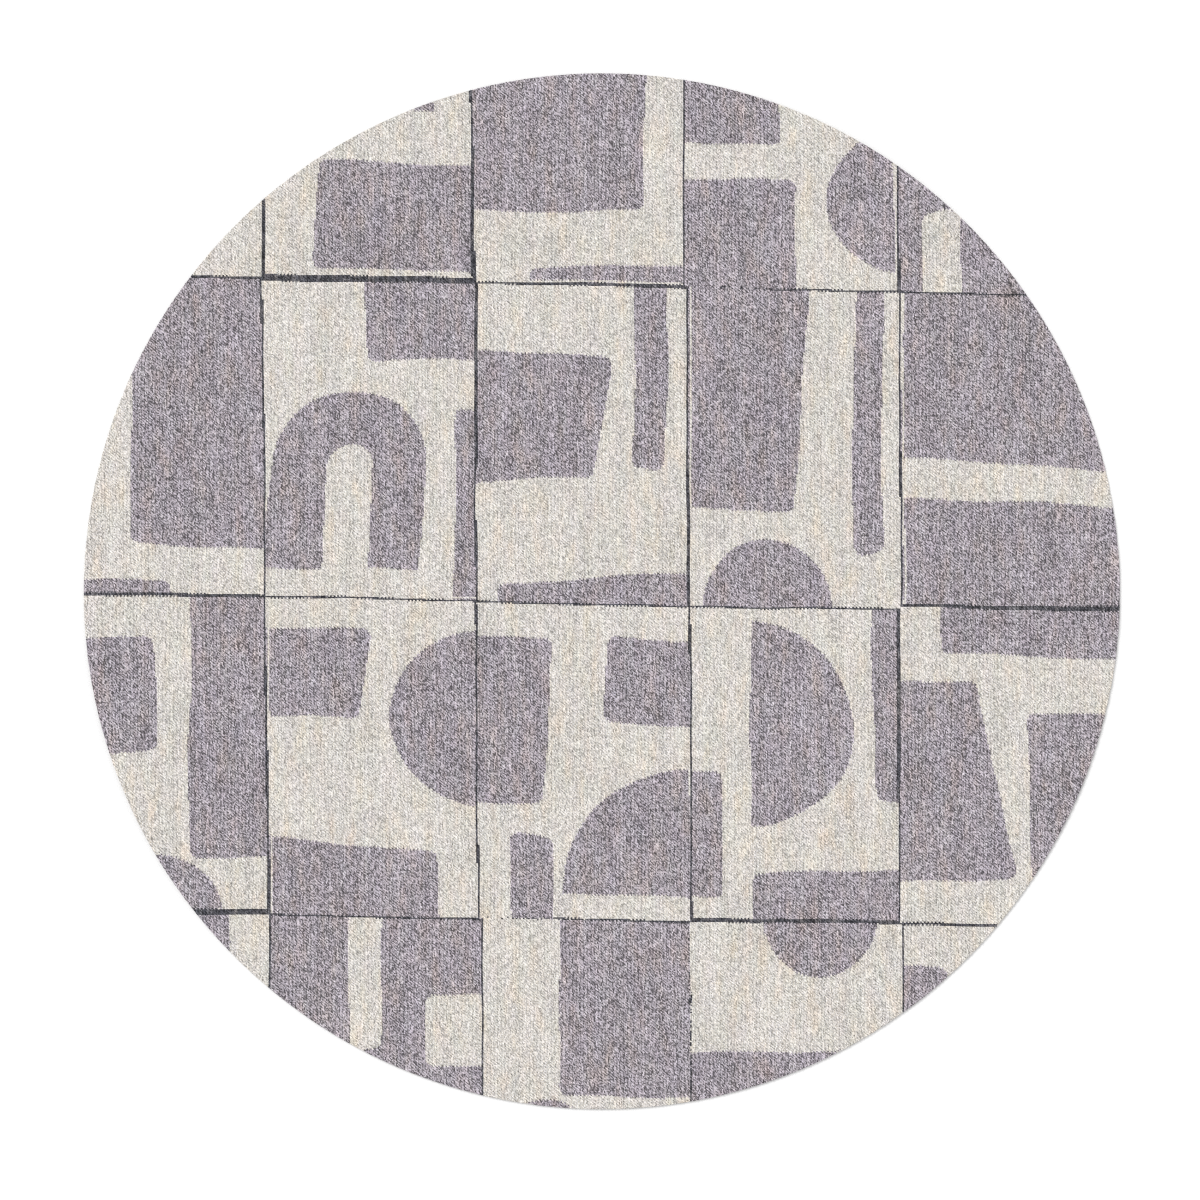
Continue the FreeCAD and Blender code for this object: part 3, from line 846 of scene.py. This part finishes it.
class Surface:
    """A material under construction: each call adds a node and gives back what it puts out."""

    def __init__(self, name):
        self.material = bpy.data.materials.new(name)
        self.material.use_nodes = True
        self.tree = self.material.node_tree
        self.shader = self.tree.nodes["Principled BSDF"]

    def node(self, kind, inputs=(), **settings):
        made = self.tree.nodes.new("ShaderNode" + kind)
        for key, value in settings.items():
            setattr(made, key, value)
        for key, value in dict(inputs).items():
            self.put(made.inputs[key], value)
        return made

    def put(self, socket, value):
        if isinstance(value, bpy.types.NodeSocket):
            self.tree.links.new(value, socket)
        else:
            socket.default_value = value

    def math(self, operation, *values):
        return self.node("Math", enumerate(values), operation=operation).outputs[0]

    def attribute(self, name, output="Vector"):
        return self.node("Attribute", attribute_name=name).outputs[output]

    def place(self):
        return self.node("TexCoord").outputs["Object"]

    def parts(self, vector):
        return self.node("SeparateXYZ", {0: vector}).outputs

    def vector(self, x, y, z=0.0):
        return self.node("CombineXYZ", {0: x, 1: y, 2: z}).outputs[0]

    def line(self, value, slope, base):
        """A value times slope, plus base."""
        return self.math("MULTIPLY_ADD", value, slope, base)

    def times(self, value, factor):
        return self.math("MULTIPLY", value, factor)

    def vary(self, value, source, amount):
        """A value, and so much of how far above or below a half the source is."""
        return self.line(self.math("SUBTRACT", source, 0.5), amount, value)

    def noise(self, scale, detail=2.0, place=None):
        """Noise over the piece itself, unless another place is given."""
        settings = {"Vector": place or self.place(), "Scale": scale, "Detail": detail}
        return self.node("TexNoise", settings).outputs["Fac"]

    def grain(self, x, y, counts, layer=0.0):
        """Noise over the weave, with so many grains to a column and so many to a row."""
        place = self.vector(self.times(x, counts[0]), self.times(y, counts[1]), layer)
        return self.noise(1.0, 1.0, place)

    def chance(self, vector):
        return self.node("TexWhiteNoise", {"Vector": vector}).outputs["Value"]

    def ramp(self, value, *stops):
        made = self.node("ValToRGB", {"Fac": value})
        elements = made.color_ramp.elements
        while len(elements) < len(stops):
            elements.new(0.5)
        for element, (at, colour) in zip(elements, stops):
            element.position, element.color = at, colour
        return made.outputs["Color"]

    def tones(self, value, *colours, spread=0.2):
        """Colours as on a screen, spaced evenly over a noise, so far each way from a half."""
        places = np.linspace(0.5 - spread, 0.5 + spread, len(colours))
        return self.ramp(value, *[(at, srgb(*colour)) for at, colour in zip(places, colours)])

    def mix(self, factor, first, second, blend="MIX"):
        sockets = {0: factor, 6: first, 7: second}  # 6 and 7 take colours, and output 2 gives one
        return self.node("Mix", sockets, data_type="RGBA", blend_type=blend).outputs[2]

    def shade(self, colour, value):
        """A colour made darker or lighter by a value about 1."""
        return self.mix(1.0, colour, self.vector(value, value, value), "MULTIPLY")

    def bump(self, height, distance, strength=1.0):
        inputs = {"Height": height, "Distance": distance, "Strength": strength}
        self.put(self.shader.inputs["Normal"], self.node("Bump", inputs).outputs[0])

    def finish(self, colour, roughness, specular, sheen=0.0):
        names = ("Base Color", "Roughness", "Specular IOR Level", "Sheen Weight")
        for key, value in zip(names, (colour, roughness, specular, sheen)):
            self.put(self.shader.inputs[key], value)
        return self.material


# The yarns, each from its darkest to its lightest tone
TONES = {
    CREAM: ((212, 208, 203), (216, 212, 207), (219, 215, 211)),
    GREY: ((158, 151, 158), (165, 158, 165), (174, 168, 174)),
    CHARCOAL: ((62, 62, 68), (84, 84, 90), (112, 110, 114)),
}
# Tints, which multiply those, and where in their noise each is reached
NO_TINT = (1.0, 1.0, 1.0, 1)
WARM = ((0.26, (1.065, 1.000, 0.925, 1)), (0.46, NO_TINT), (0.74, (0.985, 1.000, 1.045, 1)))
GREEN = ((0.26, (1.018, 0.992, 1.010, 1)), (0.50, NO_TINT), (0.74, (0.982, 1.008, 0.988, 1)))
TAN = ((0.34, (1.000, 0.942, 0.815, 1)), (0.50, NO_TINT))
TAN_CREAM, TAN_DARKER = 1.0, 0.65  # how much of the tan the cream yarn takes, and the other two
SHADE_CREAM, SHADE_DARKER = 0.47, 1.0  # the same, of the random tone and the painted shade together
DARKEST = 0.22  # the least that the random tone and the painted shade leave of a yarn's colour
PLY_PAINTED_SHADE, GAP_PAINTED_SHADE = -0.26, -0.44  # painted shade where two beads meet, and in the gaps between columns
JUMP = 13.7  # so far apart in a noise, two columns are nothing like each other
# How many of each there are to a yarn column across it, and to a yarn row along it
SPUN, TUFTS, SPECKS = (JUMP, 0.24), (4.0, 3.2), (3.0, 2.4)
STRANDS, STREAKS = (4.6, 0.4), (0.4, 0.03)


def yarn_places(s):
    """Where a point is in the weave: along it, in a column, across that column, and along its slant."""
    x, y, _ = s.parts(s.attribute("laid"))
    column = s.math("FLOOR", x)
    across = s.math("SUBTRACT", x, column)
    return x, y, column, across, s.math("ADD", y, across)


def by_yarn(s, yarn, cream, darker):
    """One value on the cream yarn and another on the two darker ones."""
    return s.line(s.math("MINIMUM", yarn, 1.0), darker - cream, cream)


def patches(s, scale, shift, tints):
    """A tint that changes in soft patches, drawn out along the yarn."""
    inputs = {"Vector": s.place(), "Scale": (1.0, 0.3, 1.0), "Location": (shift, shift, shift)}
    place = s.node("Mapping", inputs).outputs["Vector"]
    return s.ramp(s.noise(scale, 5.0, place), *tints)


def heather(s, y, column, yarn, tuft):
    """The three yarns, each spun unevenly, tinted in long soft patches and tan in its hollows."""
    spun = s.grain(column, y, SPUN)
    colour = s.tones(spun, *TONES[CREAM])
    for kind in (GREY, CHARCOAL):
        colour = s.mix(s.math("GREATER_THAN", yarn, kind - 0.5), colour, s.tones(spun, *TONES[kind]))
    colour = s.mix(1.0, colour, patches(s, 60.0, 0.0, WARM), "MULTIPLY")
    colour = s.mix(1.0, colour, patches(s, 70.0, 7.0, GREEN), "MULTIPLY")
    return s.mix(by_yarn(s, yarn, TAN_CREAM, TAN_DARKER), colour, s.ramp(tuft, *TAN), "MULTIPLY")


def chenille():
    """The woven face: heathered yarn in columns, pinched into beads that slant down to the right, with
    painted shade where two beads meet and in the gaps between columns.
    """
    s = Surface("chenille_weave")
    x, y, column, across, slant = yarn_places(s)
    yarn = s.attribute("yarn", "Fac")

    ply = s.math("COSINE", s.times(slant, tau))
    off_crown = s.math("ABSOLUTE", s.math("SUBTRACT", across, 0.5))
    gap = s.math("POWER", s.times(off_crown, 2.0), 3.0)
    bead = s.chance(s.vector(column, s.math("FLOOR", slant)))
    tuft_across = s.line(across, TUFTS[0], s.times(column, JUMP))
    tuft = s.grain(tuft_across, slant, (1.0, TUFTS[1]), layer=2.0)
    speck_across = s.math("FLOOR", s.times(x, SPECKS[0]))
    speck_along = s.math("FLOOR", s.times(slant, SPECKS[1]))
    speck = s.chance(s.vector(speck_across, speck_along, 3.0))
    strand = s.grain(x, y, STRANDS, layer=8.0)
    streak = s.grain(x, y, STREAKS, layer=5.0)
    fibre = s.noise(1500.0)
    cloud = s.noise(9.0)

    # painted shade: the colour is darkened where two beads meet and in the gaps between columns, the
    # hollows of the weave
    value = s.line(ply, PLY_PAINTED_SHADE, s.times(gap, GAP_PAINTED_SHADE))
    for source, amount in (
        (bead, 0.06), (tuft, 2.0), (speck, 1.6), (strand, 1.7), (fibre, 1.0), (cloud, 0.3),
        (streak, 0.6),
    ):
        value = s.vary(value, source, amount)
    value = s.line(value, by_yarn(s, yarn, SHADE_CREAM, SHADE_DARKER), 1.0)
    colour = s.shade(heather(s, y, column, yarn, tuft), s.math("MAXIMUM", value, DARKEST))
    s.bump(s.line(ply, -0.35, fibre), 0.5 * MM, 0.7)
    return s.finish(colour, s.line(fibre, 0.15, 0.82), 0.15, sheen=0.12)


def latex():
    """Dried latex: off-white and faintly mottled, with the cloth's weave showing through as bumps."""
    s = Surface("latex")
    mottle = s.noise(180.0, 3.0)
    grain = s.noise(900.0)
    colour = s.tones(mottle, (206, 200, 184), (226, 221, 208), spread=0.15)
    s.bump(s.math("ADD", mottle, grain), 0.25 * MM, 0.6)
    return s.finish(colour, s.line(grain, 0.3, 0.35), 0.4)


def felt():
    """Needled felt: matted fibres of several greys, with the fine pits that the needles leave."""
    s = Surface("felt")
    fibre = s.noise(1100.0, 4.0)
    cloud = s.noise(35.0)
    pits = s.node("TexVoronoi", {"Vector": s.place(), "Scale": 420.0}).outputs["Distance"]
    greys = s.tones(fibre, (142, 136, 128), (176, 170, 162), (206, 201, 194))
    colour = s.shade(greys, s.vary(1.0, cloud, 0.25))
    s.bump(s.line(pits, 0.6, fibre), 0.5 * MM, 0.8)
    return s.finish(colour, s.line(fibre, 0.1, 0.85), 0.2, sheen=0.2)


TWILL_PITCH = 0.9 * MM  # from one rib of the tape's twill to the next
CHEVRON = 3.5 * MM  # how far across the tape the ribs run before they change way
SATIN_PITCH, WARP_PITCH = 0.45 * MM, 0.3 * MM
SELVEDGE = 1 * MM


def cotton_tape():
    """Cotton twill tape: a herringbone of fine ribs that changes way every few millimetres."""
    s = Surface("cotton_tape")
    along, across, _ = s.parts(s.attribute("laid"))
    chevron = s.math("PINGPONG", across, CHEVRON)
    rib = s.math("SINE", s.times(s.math("ADD", along, chevron), tau / TWILL_PITCH))
    thread = s.noise(1600.0)
    cloud = s.noise(60.0)
    # painted shade: the colour is darker in the grooves between the twill's ribs and lighter on their
    # crests
    value = s.vary(s.line(rib, 0.10, 0.95), thread, 0.4)
    colour = s.tones(cloud, (146, 140, 142), (164, 158, 158))
    s.bump(s.line(thread, 0.6, rib), 0.12 * MM, 0.9)
    return s.finish(s.shade(colour, value), s.line(thread, 0.1, 0.8), 0.25, sheen=0.1)


def hem_thread():
    """Spun polyester thread with a faint gloss and stray fibres."""
    s = Surface("hem_thread")
    fibre = s.noise(3000.0)
    colour = s.tones(fibre, (186, 181, 174), (222, 218, 210))
    s.bump(fibre, 0.05 * MM, 0.8)
    return s.finish(colour, s.line(fibre, 0.2, 0.5), 0.4)


def label_ribbon():
    """Woven satin: ivory, with fine ribs across it and a firmer edge along each side."""
    s = Surface("label_ribbon")
    along, across, _ = s.parts(s.attribute("laid"))
    rib = s.math("SINE", s.times(along, tau / SATIN_PITCH))
    warp = s.math("SINE", s.times(across, tau / WARP_PITCH))
    selvedge = s.math("GREATER_THAN", s.math("ABSOLUTE", across), LABEL_WIDTH / 2 - SELVEDGE)
    cloud = s.noise(300.0)
    # painted shade: the colour is a little darker in the grooves between the ribs
    value = s.line(selvedge, -0.06, s.line(rib, 0.03, 0.98))
    colour = s.tones(cloud, (226, 222, 210), (236, 233, 224))
    s.bump(s.line(warp, 0.5, rib), 0.04 * MM, 0.8)
    return s.finish(s.shade(colour, value), s.line(cloud, 0.15, 0.32), 0.5, sheen=0.1)


def studio_floor():
    """Matt white paper with the faintest tooth."""
    s = Surface("studio_floor")
    tooth = s.noise(900.0)
    colour = s.ramp(tooth, (0.3, (0.970, 0.970, 0.970, 1)), (0.7, (0.985, 0.985, 0.985, 1)))
    return s.finish(colour, 1.0, 0.0)


# ---- the studio
IMAGE_SPAN = 1.7364  # metres across the picture, at the rug
LENS, SENSOR = 85.0, 36.0
AIM = (-2.7 * MM, -12.7 * MM)  # the camera looks at this place, a little off the rug's centre
DOME = 0.72  # share of the light that comes evenly from all round
KEY = 0.38  # and from one large soft source, high at the upper left
KEY_ELEVATION = radians(48)
KEY_BEARING = radians(128)
KEY_SPREAD = radians(30)  # how wide the source looks from the rug
FLOOR_SIZE = 60.0  # half of its width
FLOOR_GAP = 0.02 * MM  # keeps the floor clear of the felt
CLIP_END = 200.0  # beyond the floor's corners, as the camera sees them


def floor():
    """The floor, far larger than any view of the rug needs."""
    far, level = FLOOR_SIZE, cad_low.z - FLOOR_GAP
    corners = [(-far, -far, level), (far, -far, level), (far, far, level), (-far, far, level)]
    thing = build_mesh("floor", np.array(corners), [[0, 1, 2, 3]])
    thing.data.materials.append(studio_floor())


def camera():
    """Straight down, upright in the picture, from far enough for a long lens."""
    data = bpy.data.cameras.new("camera")
    data.lens, data.sensor_width = LENS, SENSOR
    thing = bpy.data.objects.new("camera", data)
    bpy.context.scene.collection.objects.link(thing)
    thing.location = (*AIM, cloth_high.z + IMAGE_SPAN * LENS / SENSOR)
    data.clip_end = CLIP_END
    bpy.context.scene.camera = thing


def lights():
    """An even white dome, pure white to the camera, and one soft key."""
    scene = bpy.context.scene
    world = bpy.data.worlds.new("dome")
    scene.world = world
    world.use_nodes = True
    tree = world.node_tree
    background = tree.nodes["Background"]
    background.inputs["Color"].default_value = (1, 1, 1, 1)
    seen = tree.nodes.new("ShaderNodeLightPath")
    level = tree.nodes.new("ShaderNodeMapRange")
    level.inputs["To Min"].default_value = DOME
    level.inputs["To Max"].default_value = 1.0
    tree.links.new(seen.outputs["Is Camera Ray"], level.inputs["Value"])
    tree.links.new(level.outputs["Result"], background.inputs["Strength"])
    data = bpy.data.lights.new("key", "SUN")
    data.angle = KEY_SPREAD
    data.energy = KEY * pi / sin(KEY_ELEVATION)
    thing = bpy.data.objects.new("key", data)
    scene.collection.objects.link(thing)
    thing.rotation_euler = (pi / 2 - KEY_ELEVATION, 0, KEY_BEARING + pi / 2)
    scene.view_settings.view_transform = "Standard"
    scene.cycles.use_denoising = False  # it would smear a weave as fine as this one
    scene.cycles.filter_width = 1.2  # and so would a wide pixel filter


# ---- putting it together
def finish_piece(piece, material, node):
    """Gives a piece its material and its body, and hides the CAD part that it stands for."""
    piece.data.materials.append(material)
    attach(piece, "root")
    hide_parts(node)
    return piece


floor()
camera()
lights()
thread = hem_thread()
cloth = finish_piece(woven_face(), chenille(), "face_cloth")
coat = finish_piece(latex_coat(), latex(), "bond_coat")
backing = finish_piece(felt_backing(), felt(), "backing_felt")
tape = finish_piece(hem_tape_piece(), cotton_tape(), "hem_tape")
label = finish_piece(blank_label(), label_ribbon(), "sewn_label")
outer_row = hem_row("outer_hem_thread", TAPE_OUTER - ROW_INSET)
outer = finish_piece(outer_row, thread, "outer_hem_stitches")
inner_row = hem_row("inner_hem_thread", TAPE_INNER + ROW_INSET)
inner = finish_piece(inner_row, thread, "inner_hem_stitches")
lap = finish_piece(lap_row(), thread, "lap_stitches")
label_sewing = finish_piece(label_row(), thread, "label_stitches")
